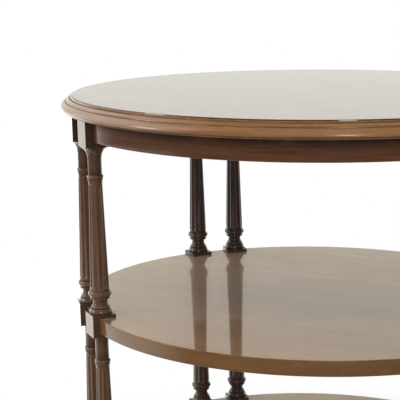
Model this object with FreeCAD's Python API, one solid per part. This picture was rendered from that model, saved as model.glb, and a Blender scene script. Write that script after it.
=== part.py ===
import FreeCAD, Part
import math
import os

from FreeCAD import Vector

# A three-tier side table: a moulded oval top on a conforming apron, two plain oval tiers below it,
# and four pairs of slim posts that are square at the boards and turned and fluted between them.
# Millimetres, +Z up. The floor is Z = 0, the oval's long axis lies on X and its front faces -Y.

# Oval of the top, over the nose of its edge moulding
top_width = 660.0
top_depth = 596.0

# Where the posts stand, as the way the oval's edge faces there, in degrees from its long axis:
# the middle of each pair, and the turn between a pair's two posts
pair_angle = 44.0
pair_spread = 11.6

# Upper faces above the floor
top_height = 700.0
middle_tier_height = 431.0
lower_tier_height = 194.5

# Boards and apron
top_thickness = 20.0
tier_thickness = 19.0
apron_height = 27.0
apron_thickness = 20.0
arris = 0.8

# How far inside the nose line the apron's face and the tiers' edges lie
apron_setback = 19.0
tier_setback = 20.0

# Edge moulding, from the flat of the top outwards and down
moulding_width = 15.2
step_drop = 1.4
fillet_width = 2.6
fillet_drop = 2.1
band_width = 4.6
band_drop = 4.4
quirk_width = 0.7
quirk_drop = 0.9
nose_rise = 7.8
nose_tuck = 1.8
under_fillet_setback = 4.2
under_fillet_height = 2.5
tongue_length = 6.0
tongue_thickness = 6.0

# Square stock of the posts, and how far its outer face stands out past the tiers' edge
post_width = 30.4
post_stand_out = 8.7
apron_block_drop = 7.5
tier_block_drop = 5.0
plinth_rise = 4.2

# Turned neck under each square block. Its hollow shoulder starts at the corners of the stock under the apron,
# and inside the flats under a tier. A neck's reach is from the end of the block down to the bead.
tier_shoulder_radius = 12.4
collar_radius = 8.9
collar_height = 1.0
neck_radius = 8.4
apron_neck_reach = 35.0
tier_neck_reach = 32.2
bead_radius = 10.1
bead_height = 4.6
bead_fillet_radius = 9.3
bead_fillet_height = 2.4

# Fluted shaft
shaft_top_radius = 8.5
shaft_foot_radius = 12.2
flute_count = 10
flute_margin = 7.0
flute_width_share = 0.84
flute_depth_share = 0.1

# Turned base on each plinth, from the shaft down
torus_base_radius = 12.7
torus_radius = 14.6
torus_height = 6.6
ring_radius = 12.3
ring_height = 3.2
scotia_radius = 9.0
scotia_height = 9.1
small_ring_base_radius = 10.6
small_ring_radius = 11.8
small_ring_height = 3.4
bell_top_radius = 12.5
bell_radius = 14.2
bell_height = 6.6

# Tapered leg and toe under the lower tier
leg_top_radius = 11.0
leg_ankle_radius = 7.2
ankle_ring_radius = 9.8
ankle_ring_height = 4.4
ankle_radius = 6.6
ankle_height = 4.0
toe_radius = 11.2
toe_rise = 15.0
toe_height = 22.0
toe_base_radius = 7.6

# Dowels, and the glue line left round every joint
glue_gap = 0.1
apron_dowel_radius = 3.0
apron_dowel_reach_share = 0.36
apron_dowel_height_shares = (0.27, 0.73)
tier_dowel_radius = 4.0
tier_dowel_depth = 11.0
tier_dowel_reach = 24.0
top_dowel_radius = 4.0
top_dowel_depth = 18.0
top_dowel_reach = 12.0
dowel_web = 1.6

# Glue blocks in the corner of top and apron, and the screws through them
glue_block_length = 54.0
glue_block_depth = 20.0
glue_block_height = 20.0
glue_block_chamfer = 8.0
glue_block_angle = 20.0
screw_radius = 2.0
screw_head_radius = 4.0
screw_head_height = 2.6
screw_reach = 11.0
screw_point = 4.0
screw_slot_width = 1.0
screw_slot_depth = 1.1

# How far a cutting shape runs past what it cuts, and the shortest stroke worth drawing
overrun = 6.0
weld_distance = 1e-6

full_turn = 360.0
half_turn = 180.0
quarter_turn = 90.0
upwards = Vector(0, 0, 1)
inwards = Vector(-1, 0, 0)

# Four tangent arcs make the oval, and meet where the middle of each pair of posts stands
half_width = top_width / 2
half_depth = top_depth / 2
pair_slope = math.tan(math.radians(pair_angle))
end_centre = (half_width - half_depth) / (1 + pair_slope - 1 / math.cos(math.radians(pair_angle)))
side_centre = end_centre * pair_slope
end_radius = half_width - end_centre
side_radius = half_depth + side_centre

underside = top_height - top_thickness
apron_bottom = underside - apron_height
post_inset = tier_setback - post_stand_out + post_width / 2
corner_radius = post_width / math.sqrt(2)
post_run = 2 * math.tan(math.radians(pair_spread / 4)) * (end_radius + side_radius - 2 * post_inset)
short_rail_length = post_run - post_width
tier_heights = (middle_tier_height, lower_tier_height)


def facing(angle):
    """Unit vector of a level direction, from its angle to +X in degrees."""
    return Vector(math.cos(math.radians(angle)), math.sin(math.radians(angle)), 0)


def arc_at(angle):
    """Centre and radius of the arc of the oval's nose line whose edge faces along an angle."""
    way = facing(angle)
    if abs(way.y) > abs(way.x) * pair_slope:
        return Vector(0, -math.copysign(1, way.y) * side_centre, 0), side_radius
    return Vector(math.copysign(1, way.x) * end_centre, 0, 0), end_radius


def set_on_oval(shape, inset, angle):
    """A copy of a shape, its +X turned to face along the angle, on the oval drawn at an inset."""
    centre, radius = arc_at(angle)
    placed = shape.copy()
    placed.rotate(Vector(0, 0, 0), upwards, angle)
    placed.translate(centre + facing(angle) * (radius - inset))
    return placed


class Outline:
    """An outline drawn stroke by stroke. Its points are (across, up): a radius or an inset, and a height."""

    def __init__(self, across, up):
        self.first = (across, up)
        self.last = self.first
        self.strokes = []

    def line(self, across, up):
        end = (across, up)
        if math.dist(end, self.last) > weld_distance:
            self.strokes.append((self.last, end))
            self.last = end

    def step(self, across):
        self.line(across, self.last[1])

    def drop(self, height):
        self.line(self.last[0], self.last[1] - height)

    def arc(self, through, end):
        self.strokes.append((self.last, through, end))
        self.last = end

    def bead(self, crown, height):
        """A round swell or hollow that comes back to where it stands, with its crown halfway down."""
        across, up = self.last
        self.arc((crown, up - height / 2), (across, up - height))

    def round_to(self, across, up):
        """An arc that ends upright."""
        self.arc(self.upright_middle((across, up), self.last), (across, up))

    def round_from(self, across, up):
        """An arc that starts upright."""
        self.arc(self.upright_middle(self.last, (across, up)), (across, up))

    def upright_middle(self, upright, other):
        """Middle point of the arc that is upright at one of its two ends."""
        run = other[0] - upright[0]
        rise = other[1] - upright[1]
        radius = (run * run + rise * rise) / (2 * run)
        centre = (upright[0] + radius, upright[1])
        middle = ((upright[0] + other[0]) / 2 - centre[0], (upright[1] + other[1]) / 2 - centre[1])
        stretch = abs(radius) / math.hypot(*middle)
        return centre[0] + middle[0] * stretch, centre[1] + middle[1] * stretch

    def face(self, place):
        """The closed outline as a face, with place turning each (across, up) into a point."""
        self.line(*self.first)
        edges = []
        for stroke in self.strokes:
            points = [place(*point) for point in stroke]
            curve = Part.Arc if len(points) > 2 else Part.LineSegment
            edges.append(curve(*points).toShape())
        return Part.Face(Part.Wire(edges))

    def turned(self):
        """The outline turned once round the Z axis."""
        profile = self.face(lambda across, up: Vector(across, 0, up))
        return profile.revolve(Vector(0, 0, 0), upwards, full_turn)

    def carried(self, start, sweep):
        """The outline of insets and heights, carried along one arc of the oval from a start angle."""
        centre, radius = arc_at(start + sweep / 2)
        profile = self.face(lambda inset, up: centre + facing(start) * (radius - inset) + upwards * up)
        return profile.revolve(centre, upwards, sweep)

    def carried_round(self):
        """The outline carried all the way round the oval."""
        side_sweep = half_turn - 2 * pair_angle
        starts = (-pair_angle, pair_angle, half_turn - pair_angle, half_turn + pair_angle)
        sweeps = (2 * pair_angle, side_sweep, 2 * pair_angle, side_sweep)
        sectors = [self.carried(start, sweep) for start, sweep in zip(starts, sweeps)]
        return sectors[0].multiFuse(sectors[1:]).removeSplitter()


def oval_board(inset, bottom, thickness):
    """A flat board whose edge follows the oval at an inset."""
    corners = (-pair_angle, pair_angle, half_turn - pair_angle, half_turn + pair_angle, full_turn - pair_angle)
    edges = []
    for start, end in zip(corners, corners[1:]):
        centre, radius = arc_at((start + end) / 2)
        points = [centre + facing(angle) * (radius - inset) for angle in (start, (start + end) / 2, end)]
        edges.append(Part.Arc(*points).toShape())
    face = Part.Face(Part.Wire(edges))
    face.translate(upwards * bottom)
    return face.extrude(upwards * thickness)


def top_moulding():
    """The lipping round the top: step, fillet, small ovolo band and large nose, over a thin under-fillet."""
    tongue_bottom = underside + (top_thickness - tongue_thickness) / 2
    groove = tongue_thickness + 2 * glue_gap
    edge = Outline(moulding_width, underside)
    edge.line(moulding_width, tongue_bottom - glue_gap)
    edge.step(moulding_width - tongue_length - glue_gap)
    edge.drop(-groove)
    edge.step(moulding_width)
    edge.line(moulding_width, top_height - step_drop)
    edge.step(moulding_width - fillet_width)
    edge.drop(fillet_drop + quirk_drop)
    edge.line(edge.last[0] - quirk_width, edge.last[1] + quirk_drop)
    edge.round_to(edge.last[0] - band_width, edge.last[1] - band_drop)
    edge.drop(quirk_drop)
    edge.line(edge.last[0] - quirk_width, edge.last[1] + quirk_drop)
    edge.round_to(0, edge.last[1] - nose_rise)
    edge.round_from(nose_tuck, underside + under_fillet_height)
    edge.step(under_fillet_setback)
    edge.drop(under_fillet_height)
    return edge.carried_round()


def top_panel():
    """The flat board of the top, with a tongue round its edge for the moulding's groove."""
    board = oval_board(moulding_width + glue_gap, underside, top_thickness)
    tongue_bottom = underside + (top_thickness - tongue_thickness) / 2
    tongue = oval_board(moulding_width - tongue_length, tongue_bottom, tongue_thickness)
    return board.fuse(tongue)


def tier_board(height):
    """One oval tier with softened edges, before its notches are cut."""
    board = oval_board(tier_setback, height - tier_thickness, tier_thickness)
    rim = [edge for edge in board.Edges if isinstance(edge.Curve, Part.Circle)]
    return board.makeFillet(arris, rim)


def apron_hoop():
    """The whole oval of the apron, before the posts part it into rails."""
    hoop = Outline(apron_setback, underside)
    hoop.line(apron_setback, apron_bottom + arris)
    hoop.line(apron_setback + arris, apron_bottom)
    hoop.step(apron_setback + apron_thickness)
    hoop.line(apron_setback + apron_thickness, underside)
    return hoop.carried_round()


def turn_neck(post, block_end, shoulder_radius, reach):
    """From a square block down its hollow quarter-round shoulder to the collar, neck, bead and fillet."""
    post.line(corner_radius + overrun, block_end)
    post.step(shoulder_radius)
    post.round_to(collar_radius, block_end - (shoulder_radius - collar_radius))
    post.drop(collar_height)
    post.step(neck_radius)
    post.line(neck_radius, block_end - reach)
    post.bead(bead_radius, bead_height)
    post.step(bead_fillet_radius)
    post.drop(bead_fillet_height)


def turn_base(post, plinth):
    """The shaft's foot: torus, ring, scotia, small ring and bell, down to the top of a square plinth."""
    post.step(torus_base_radius)
    post.bead(torus_radius, torus_height)
    post.step(ring_radius)
    post.drop(ring_height)
    post.step((ring_radius + scotia_radius) / 2)
    post.bead(scotia_radius, scotia_height)
    post.step(small_ring_base_radius)
    post.bead(small_ring_radius, small_ring_height)
    post.step(bell_top_radius)
    post.round_to(bell_radius, plinth)
    post.step(corner_radius + overrun)


def turn_toe(post):
    """The leg's foot: ankle ring, ankle hollow and a toe that tapers to the floor."""
    post.step((leg_ankle_radius + ankle_ring_radius) / 2)
    post.bead(ankle_ring_radius, ankle_ring_height)
    post.step(ankle_radius)
    post.drop(ankle_height)
    post.round_to(toe_radius, toe_rise)
    post.round_from(toe_base_radius, 0)


def flute_section(shaft_radius):
    """Radius of the round cutter of one flute, and how far from the shaft's axis its centre runs."""
    floor = shaft_radius * (1 - flute_depth_share)
    turn = math.radians(flute_width_share * half_turn / flute_count)
    chord = shaft_radius * math.cos(turn)
    spread = shaft_radius * shaft_radius + floor * floor - 2 * floor * chord
    radius = spread / (2 * (chord - floor))
    return radius, floor + radius


def flutes(shaft):
    """Round-ended cutters for the flutes of one tapering shaft: its top, bottom and their two radii."""
    top, bottom, top_radius, bottom_radius = shaft
    slope = (bottom_radius - top_radius) / (top - bottom)
    upper, upper_run = flute_section(top_radius + slope * flute_margin)
    lower, lower_run = flute_section(bottom_radius - slope * flute_margin)
    start = Vector(lower_run, 0, bottom + flute_margin)
    end = Vector(upper_run, 0, top - flute_margin)
    length = start.distanceToPoint(end)
    cutter = Outline(0, -lower)
    cutter.arc((lower * math.sqrt(0.5), -lower * math.sqrt(0.5)), (lower, 0))
    cutter.line(upper, length)
    cutter.arc((upper * math.sqrt(0.5), length + upper * math.sqrt(0.5)), (0, length + upper))
    flute = cutter.turned()
    flute.Placement = FreeCAD.Placement(start, FreeCAD.Rotation(upwards, end - start))
    copies = []
    for count in range(flute_count):
        copy = flute.copy()
        copy.rotate(Vector(0, 0, 0), upwards, (count + 1 / 2) * full_turn / flute_count)
        copies.append(copy)
    return copies


def rod(radius, start, end):
    """A round rod between two points."""
    return Part.makeCylinder(radius, start.distanceToPoint(end), start, end - start)


def apron_dowels(gap):
    """The dowels on both sides of one post's top block, in the post's own place, grown by a gap."""
    across = post_inset - apron_setback - apron_thickness / 2
    near = top_dowel_radius + dowel_web
    far = post_width / 2 + short_rail_length * apron_dowel_reach_share
    dowels = []
    for share in apron_dowel_height_shares:
        height = apron_bottom + apron_height * share
        for side in (-1, 1):
            start = Vector(across, side * (near - gap), height)
            dowels.append(rod(apron_dowel_radius + gap, start, Vector(across, side * (far + gap), height)))
    return dowels


def tier_dowel(height, gap):
    """The dowel from a post's block into the tier behind it, in the post's own place, grown by a gap."""
    middle = upwards * (height - tier_thickness / 2)
    start = middle + inwards * (post_width / 2 - tier_dowel_depth - gap)
    return rod(tier_dowel_radius + gap, start, middle + inwards * (post_width / 2 + tier_dowel_reach + gap))


def top_dowel(gap):
    """The dowel from a post's top block up into the top, in the post's own place, grown by a gap."""
    start = upwards * (underside - top_dowel_depth - gap)
    return rod(top_dowel_radius + gap, start, upwards * (underside + top_dowel_reach + gap))


def turned_post():
    """One whole post on the Z axis, its outer face towards +X: square stock, turned, fluted and bored."""
    post = Outline(0, underside)
    post.step(corner_radius + overrun)
    shafts = []
    neck = (apron_bottom - apron_block_drop, corner_radius, apron_neck_reach)
    for height in tier_heights:
        turn_neck(post, *neck)
        plinth = height + plinth_rise
        base = bell_height + small_ring_height + scotia_height + ring_height + torus_height
        shafts.append((post.last[1], plinth + base, shaft_top_radius, shaft_foot_radius))
        post.step(shaft_top_radius)
        post.line(shaft_foot_radius, plinth + base)
        turn_base(post, plinth)
        neck = (height - tier_thickness - tier_block_drop, tier_shoulder_radius, tier_neck_reach)
    turn_neck(post, *neck)
    ankle = toe_height + ankle_height + ankle_ring_height
    shafts.append((post.last[1], ankle, leg_top_radius, leg_ankle_radius))
    post.step(leg_top_radius)
    post.line(leg_ankle_radius, ankle)
    turn_toe(post)
    post.step(0)
    stock = Part.makeBox(post_width, post_width, underside, Vector(-post_width / 2, -post_width / 2, 0))
    cutters = [flute for shaft in shafts for flute in flutes(shaft)]
    cutters += apron_dowels(glue_gap)
    cutters += [tier_dowel(height, glue_gap) for height in tier_heights]
    cutters.append(top_dowel(glue_gap))
    return stock.common(post.turned()).cut(cutters)


def post_slot(bottom, height, back):
    """A square-sided slot for one post, open outwards, in the post's own place."""
    width = post_width + 2 * glue_gap
    length = back + post_width / 2 + overrun
    return Part.makeBox(length, width, height, Vector(-back, -width / 2, bottom))


def glue_block(angle):
    """A block in the corner between the top and the apron, with its inner lower edge cut off."""
    back = apron_setback + apron_thickness + glue_gap
    front = back + glue_block_depth
    block = Outline(back, underside)
    block.drop(glue_block_height)
    block.step(front - glue_block_chamfer)
    block.line(front, underside - glue_block_height + glue_block_chamfer)
    block.line(front, underside)
    sweep = math.degrees(glue_block_length / (arc_at(angle)[1] - back))
    return block.carried(angle - sweep / 2, sweep)


def top_screw(gap):
    """A countersunk screw on the Z axis that runs up through a glue block into the top, grown by a gap."""
    head = underside - glue_block_height
    screw = Outline(0, head - gap)
    screw.step(screw_head_radius + gap)
    screw.line(screw_radius + gap, head + screw_head_height)
    screw.line(screw_radius + gap, underside + screw_reach - screw_point)
    screw.line(0, underside + screw_reach + gap)
    return screw.turned()


def slotted_screw():
    """The screw with the slot across its head."""
    head = underside - glue_block_height
    slot = Part.makeBox(2 * (screw_head_radius + overrun), screw_slot_width, screw_slot_depth + overrun)
    slot.translate(Vector(-screw_head_radius - overrun, -screw_slot_width / 2, head - overrun))
    return top_screw(0).cut(slot)


# The eight posts, named by their corner and by the arc of the oval that they stand on
corner_angles = {
    "back_right": pair_angle,
    "back_left": half_turn - pair_angle,
    "front_left": half_turn + pair_angle,
    "front_right": full_turn - pair_angle,
}
post_angles = {}
for corner, middle in corner_angles.items():
    towards_end = -1 if corner in ("back_right", "front_left") else 1
    post_angles["post_" + corner + "_end"] = middle + towards_end * pair_spread / 2
    post_angles["post_" + corner + "_side"] = middle - towards_end * pair_spread / 2


def at_posts(shapes):
    """Copies of shapes made in a post's own place, set at every post."""
    return [set_on_oval(shape, post_inset, angle) for angle in post_angles.values() for shape in shapes]


nodes = {}

# Posts
pattern_post = turned_post()
for name, angle in post_angles.items():
    nodes[name] = set_on_oval(pattern_post, post_inset, angle)

# Tiers, notched round the posts and bored for their dowels
for name, height in zip(("middle_tier", "lower_tier"), tier_heights):
    bottom = height - tier_thickness
    notch = post_slot(bottom - overrun, tier_thickness + 2 * overrun, post_width / 2 + glue_gap)
    nodes[name] = tier_board(height).cut(at_posts([notch, tier_dowel(height, glue_gap)]))
    nodes[name + "_dowels"] = Part.Compound(at_posts([tier_dowel(height, 0)]))

# Apron rails, parted by the posts and numbered off round the oval from the right-hand end
rail_names = ("right", "back_right", "back", "back_left", "left", "front_left", "front", "front_right")
parting = post_slot(apron_bottom - overrun, apron_height + 2 * overrun, apron_thickness + post_width + overrun)
rails = apron_hoop().cut(at_posts([parting] + apron_dowels(glue_gap))).Solids
rails.sort(key=lambda rail: (math.degrees(math.atan2(rail.CenterOfMass.y, rail.CenterOfMass.x)) + pair_angle / 2)
           % full_turn)
for name, rail in zip(rail_names, rails, strict=True):
    nodes["apron_rail_" + name] = rail
nodes["apron_dowels"] = Part.Compound(at_posts(apron_dowels(0)))

# Glue blocks and screws, two behind each long rail
block_angles = [quarter_turn * rail + side * glue_block_angle for rail in range(4) for side in (-1, 1)]
screw_inset = apron_setback + apron_thickness + glue_block_depth / 2 - glue_block_chamfer / 4
screw_holes = [set_on_oval(top_screw(glue_gap), screw_inset, angle) for angle in block_angles]
blocks = [glue_block(angle).cut(hole) for angle, hole in zip(block_angles, screw_holes)]
nodes["glue_blocks"] = Part.Compound(blocks)
nodes["top_screws"] = Part.Compound([set_on_oval(slotted_screw(), screw_inset, angle) for angle in block_angles])

# Top
nodes["top_panel"] = top_panel().cut(at_posts([top_dowel(glue_gap)]) + screw_holes)
nodes["top_edge_moulding"] = top_moulding()
nodes["top_dowels"] = Part.Compound(at_posts([top_dowel(0)]))

os.makedirs("parts", exist_ok=True)
for name, shape in nodes.items():
    shape.exportStep(os.path.join("parts", name + ".step"))
    print(name, len(shape.Solids), "solids", round(shape.Volume), "mm3, valid", shape.isValid())
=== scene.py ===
import math

import bpy
import numpy as np
from mathutils import Matrix, Vector


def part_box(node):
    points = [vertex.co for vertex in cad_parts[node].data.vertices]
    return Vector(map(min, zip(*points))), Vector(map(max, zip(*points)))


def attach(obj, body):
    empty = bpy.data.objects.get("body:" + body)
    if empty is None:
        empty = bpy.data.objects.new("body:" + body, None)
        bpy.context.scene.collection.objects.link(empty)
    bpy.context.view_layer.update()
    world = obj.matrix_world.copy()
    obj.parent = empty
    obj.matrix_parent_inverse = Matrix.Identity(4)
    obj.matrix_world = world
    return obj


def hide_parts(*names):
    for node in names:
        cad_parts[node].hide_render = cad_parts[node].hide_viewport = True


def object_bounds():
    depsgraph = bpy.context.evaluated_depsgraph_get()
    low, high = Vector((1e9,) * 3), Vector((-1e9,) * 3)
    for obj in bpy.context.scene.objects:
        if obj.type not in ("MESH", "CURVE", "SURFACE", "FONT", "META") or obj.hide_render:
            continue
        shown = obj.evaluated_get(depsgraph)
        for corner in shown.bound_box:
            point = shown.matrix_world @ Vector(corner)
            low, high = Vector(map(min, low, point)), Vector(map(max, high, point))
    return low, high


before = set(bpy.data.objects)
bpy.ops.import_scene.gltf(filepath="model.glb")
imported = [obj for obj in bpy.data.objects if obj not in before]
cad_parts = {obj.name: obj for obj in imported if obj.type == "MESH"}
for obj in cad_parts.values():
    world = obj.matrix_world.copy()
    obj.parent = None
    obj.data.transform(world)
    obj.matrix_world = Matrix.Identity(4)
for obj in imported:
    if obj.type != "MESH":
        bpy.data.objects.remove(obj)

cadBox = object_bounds()
mm = 0.001
scene = bpy.context.scene
scene.view_settings.view_transform = "Standard"
print("frame:", len(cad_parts), "nodes,", round(cadBox[1].z, 4), "m high")

# plan of the oval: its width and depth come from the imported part, its four arcs meet at the pairs of posts
ovalPlan = {"pairAngle": 44.0, "pairSpread": 11.6, "samples": 360}

halfWidth, halfDepth = cadBox[1].x, cadBox[1].y
pairTurn = math.radians(ovalPlan["pairAngle"])
pairSlope = math.tan(pairTurn)
endCentre = (halfWidth - halfDepth) / (1 + pairSlope - 1 / math.cos(pairTurn))
sideCentre = endCentre * pairSlope
endRadius = halfWidth - endCentre
sideRadius = halfDepth + sideCentre
ringAngles = np.radians(np.arange(ovalPlan["samples"]) * 360 / ovalPlan["samples"])


# the edge of a side arc faces beyond the pair angle, that of an end arc within it
def onSideArc(angle):
    return np.abs(np.sin(angle)) > np.abs(np.cos(angle)) * pairSlope


def ovalRadius(angle):
    return np.where(onSideArc(angle), sideRadius, endRadius)


# point of the oval at an inset: centre of its arc, plus radius less inset along the way the edge faces
def ovalPoint(angle, inset):
    onSide = onSideArc(angle)
    reach = ovalRadius(angle) - inset
    x = np.where(onSide, 0, np.sign(np.cos(angle)) * endCentre) + reach * np.cos(angle)
    y = np.where(onSide, -np.sign(np.sin(angle)) * sideCentre, 0) + reach * np.sin(angle)
    return x, y


# quads of a grid whose rows run down and whose columns run anticlockwise, so that they face outwards
def gridFaces(rows, columns, closedRows=False, closedColumns=False):
    row = np.arange(rows if closedRows else rows - 1)[:, None]
    column = np.arange(columns if closedColumns else columns - 1)[None, :]
    below, beside = (row + 1) % rows, (column + 1) % columns
    corners = [row * columns + column, below * columns + column,
               below * columns + beside, row * columns + beside]
    return np.stack(np.broadcast_arrays(*corners), -1).reshape(-1, 4)


# flat faces over the first and last row of a grid that is closed round its columns
def endCaps(rows, columns):
    return [np.arange(columns), (rows - 1) * columns + np.arange(columns)[::-1]]


def camelName(name):
    words = name.split("_")
    return words[0] + "".join(word.capitalize() for word in words[1:])


creaseAngle = 34.0  # faces that turn by more than this meet in a crisp edge


# one smooth mesh with flat caps, the marks that its finish reads, and its place in the frame
def makePiece(name, points, quads, caps, marks, node, finish):
    mesh = bpy.data.meshes.new(name)
    faces = quads.tolist() + [cap.tolist() for cap in caps]
    mesh.from_pydata(points.reshape(-1, 3).tolist(), [], faces)
    mesh.set_sharp_from_angle(angle=math.radians(creaseAngle))
    mesh.polygons.foreach_set("use_smooth", np.arange(len(faces)) < len(quads))
    for mark, values in marks.items():
        kind, field = ("FLOAT_VECTOR", "vector") if mark == "grain" else ("FLOAT", "value")
        attribute = mesh.attributes.new(mark, kind, "POINT")
        attribute.data.foreach_set(field, np.ascontiguousarray(values, dtype=np.float32).ravel())
    mesh.materials.append(finish)
    mesh.update()
    piece = bpy.data.objects.new(name, mesh)
    scene.collection.objects.link(piece)
    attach(piece, "root")
    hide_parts(node)
    return piece


# grain runs along the first axis: 25 mm along it count as 1 mm across it
grainStretch = 25.0


def grainMarks(along, across, depth):
    return np.stack([along / mm / grainStretch, across / mm, depth / mm], -1)


# points on the circle through two ends that is upright at one of them, equally spaced by angle
def uprightArc(start, end, steps, uprightEnd):
    upright, other = (end, start) if uprightEnd else (start, end)
    run, rise = other[0] - upright[0], other[1] - upright[1]
    radius = (run * run + rise * rise) / (2 * run)
    centre = upright[0] + radius
    turn = math.atan2(rise, (other[0] - centre) * -np.sign(radius))
    angle = np.linspace(0, turn, steps + 1)
    arc = np.stack([centre - radius * np.cos(angle), upright[1] + abs(radius) * np.sin(angle)], -1)
    return arc[::-1] if uprightEnd else arc


# points on the circle through an upright chord's ends and a crown beside its middle
def swellArc(start, crown, height, steps):
    bulge = crown - start[0]
    radius = (bulge * bulge + height * height / 4) / (2 * abs(bulge))
    half = math.asin(min(1.0, height / 2 / radius))
    angle = np.linspace(half, -half, steps + 1)
    across = crown - math.copysign(1, bulge) * radius * (1 - np.cos(angle))
    return np.stack([across, start[1] - height / 2 + radius * np.sin(angle)], -1)


# length along a path at each of its points
def runLength(path):
    return np.concatenate([[0], np.cumsum(np.hypot(*np.diff(path, axis=0).T))])


fullTurn = 0.9  # an edge or hollow that turns this far, in radians, is wholly rubbed or wholly sheltered
hair = 1e-9  # keeps the order of points that lie in one place


# rubbed and sheltered shares along an outline: how far it turns outwards or inwards within a short reach
def outlineTone(outline, reach, closed=False):
    path = np.concatenate([outline[-1:], outline, outline[:1]]) if closed else outline
    length = runLength(path) + np.arange(len(path)) * hair

    def at(place):
        return np.stack([np.interp(place, length, path[:, side]) for side in (0, 1)], -1)

    before = at(length) - at(length - reach)
    after = at(length + reach) - at(length)
    across = before[:, 0] * after[:, 1] - before[:, 1] * after[:, 0]
    turn = np.arctan2(across, (before * after).sum(1)) / fullTurn
    turn = turn[1:-1] if closed else turn
    return np.clip(-turn, 0, 1), np.clip(turn, 0, 1)


def shade(red, green, blue):
    return (red, green, blue, 1.0)


def addNode(tree, kind, **values):
    node = tree.nodes.new(kind)
    for key, value in values.items():
        setattr(node, key, value)
    return node


# links an output to a socket, or sets the socket's own value
def feed(tree, socket, value):
    if isinstance(value, bpy.types.NodeSocket):
        tree.links.new(value, socket)
    else:
        socket.default_value = value


def setInputs(tree, node, **values):
    for key, value in values.items():
        feed(tree, node.inputs[key.replace("_", " ")], value)


def newFinish(name):
    finish = bpy.data.materials.new(name)
    finish.use_nodes = True
    return finish, finish.node_tree, finish.node_tree.nodes["Principled BSDF"]


def newGroup(name, inputs, outputs):
    group = bpy.data.node_groups.new(name, "ShaderNodeTree")
    for way, sockets in (("INPUT", inputs), ("OUTPUT", outputs)):
        for label, kind in sockets.items():
            group.interface.new_socket(label, in_out=way, socket_type="NodeSocket" + kind)
    return group, group.nodes.new("NodeGroupInput").outputs, group.nodes.new("NodeGroupOutput").inputs


def mixColours(tree, blend, factor, first, second):
    mix = addNode(tree, "ShaderNodeMix", data_type="RGBA", blend_type=blend)
    for place, value in ((0, factor), (6, first), (7, second)):  # the colour sockets of this node
        feed(tree, mix.inputs[place], value)
    return mix.outputs[2]


def mixValues(tree, factor, first, second):
    mix = addNode(tree, "ShaderNodeMix", data_type="FLOAT")
    for place, value in ((0, factor), (2, first), (3, second)):  # the value sockets of this node
        feed(tree, mix.inputs[place], value)
    return mix.outputs[0]


def doMath(tree, operation, *values):
    node = addNode(tree, "ShaderNodeMath", operation=operation)
    for socket, value in zip(node.inputs, values):
        feed(tree, socket, value)
    return node.outputs[0]


def vectorMath(tree, operation, *values):
    node = addNode(tree, "ShaderNodeVectorMath", operation=operation)
    for socket, value in zip(node.inputs, values):
        feed(tree, socket, value)
    return node.outputs["Value" if operation in ("DOT_PRODUCT", "LENGTH") else "Vector"]


def noiseAt(tree, vector, scale, detail, roughness, distortion=0.0):
    noise = addNode(tree, "ShaderNodeTexNoise")
    setInputs(tree, noise, Vector=vector, Scale=scale, Detail=detail, Roughness=roughness,
              Distortion=distortion)
    return noise.outputs["Fac"]


# soft step from nothing at the low level to all at the high one, and the other way round
def spread(tree, value, low, high):
    ramp = addNode(tree, "ShaderNodeMapRange", interpolation_type="SMOOTHSTEP")
    setInputs(tree, ramp, Value=value, From_Min=low, From_Max=high)
    return ramp.outputs["Result"]


def fade(tree, value, low, high):
    return doMath(tree, "SUBTRACT", 1.0, spread(tree, value, low, high))


def readMark(tree, name, output="Fac"):
    return addNode(tree, "ShaderNodeAttribute", attribute_name=name).outputs[output]


# grain in its own space: broad figure, then streaks a few millimetres wide, short flecks and dark pores; each
# layer is noise of some scale, detail, roughness and distortion, spread between two levels
grainSizes = {
    "figure": {"noise": (0.028, 3, 0.5, 0.6), "levels": (0.3, 0.7)},
    "streak": {"noise": (0.33, 4, 0.6, 0.3), "levels": (0.38, 0.74)},
    "fleck": {"noise": (0.6, 3, 0.6), "levels": (0.52, 0.72)},
    "pore": {"noise": (2.4, 2, 0.5), "levels": (0.62, 0.74)},
    "fleckShort": 2.5, "fleckShare": 0.9, "poreTone": (0.35, 0.28, 0.25),
}

woodGrain, grainIn, grainOut = newGroup(
    "woodGrain",
    {"Vector": "Vector", "Light": "Color", "Middle": "Color", "Dark": "Color", "Streaks": "Float",
     "Pores": "Float"},
    {"Color": "Color", "Height": "Float"})


def grainLayer(name, vector):
    layer = grainSizes[name]
    return spread(woodGrain, noiseAt(woodGrain, vector, *layer["noise"]), *layer["levels"])


fleckVector = vectorMath(woodGrain, "MULTIPLY", grainIn["Vector"], (grainSizes["fleckShort"], 1, 1))
fleckShare = doMath(woodGrain, "MULTIPLY", grainIn["Streaks"], grainSizes["fleckShare"])
streak = doMath(woodGrain, "MULTIPLY", grainLayer("streak", grainIn["Vector"]), grainIn["Streaks"])
fleck = doMath(woodGrain, "MULTIPLY", grainLayer("fleck", fleckVector), fleckShare)
pore = doMath(woodGrain, "MULTIPLY", grainLayer("pore", grainIn["Vector"]), grainIn["Pores"])
figure = grainLayer("figure", grainIn["Vector"])
tone = mixColours(woodGrain, "MIX", figure, grainIn["Middle"], grainIn["Light"])
tone = mixColours(woodGrain, "MIX", streak, tone, grainIn["Dark"])
tone = mixColours(woodGrain, "MIX", fleck, tone, grainIn["Dark"])
tone = mixColours(woodGrain, "MULTIPLY", pore, tone, shade(*grainSizes["poreTone"]))
feed(woodGrain, grainOut["Color"], tone)
feed(woodGrain, grainOut["Height"], doMath(woodGrain, "SUBTRACT", 1.0, pore))

# age of the polish: edges rubbed lighter (wear, and on the moulding also a painted highlight), hollows and
# sheltered places darkened and dulled (dirt, and painted shade), and the shine broken a little all over
ageSizes = {
    "rubNoise": (140.0, 3, 0.6), "rubLevels": (0.3, 0.75), "rubShare": 0.55,
    "hazeNoise": (22.0, 4, 0.6), "hazeRough": 0.25,
    "shadeAndDirtLevels": (0.1, 0.6), "shadeAndDirtShare": 0.85, "dirtRough": 0.25, "dirtDulling": 0.7,
}

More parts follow.
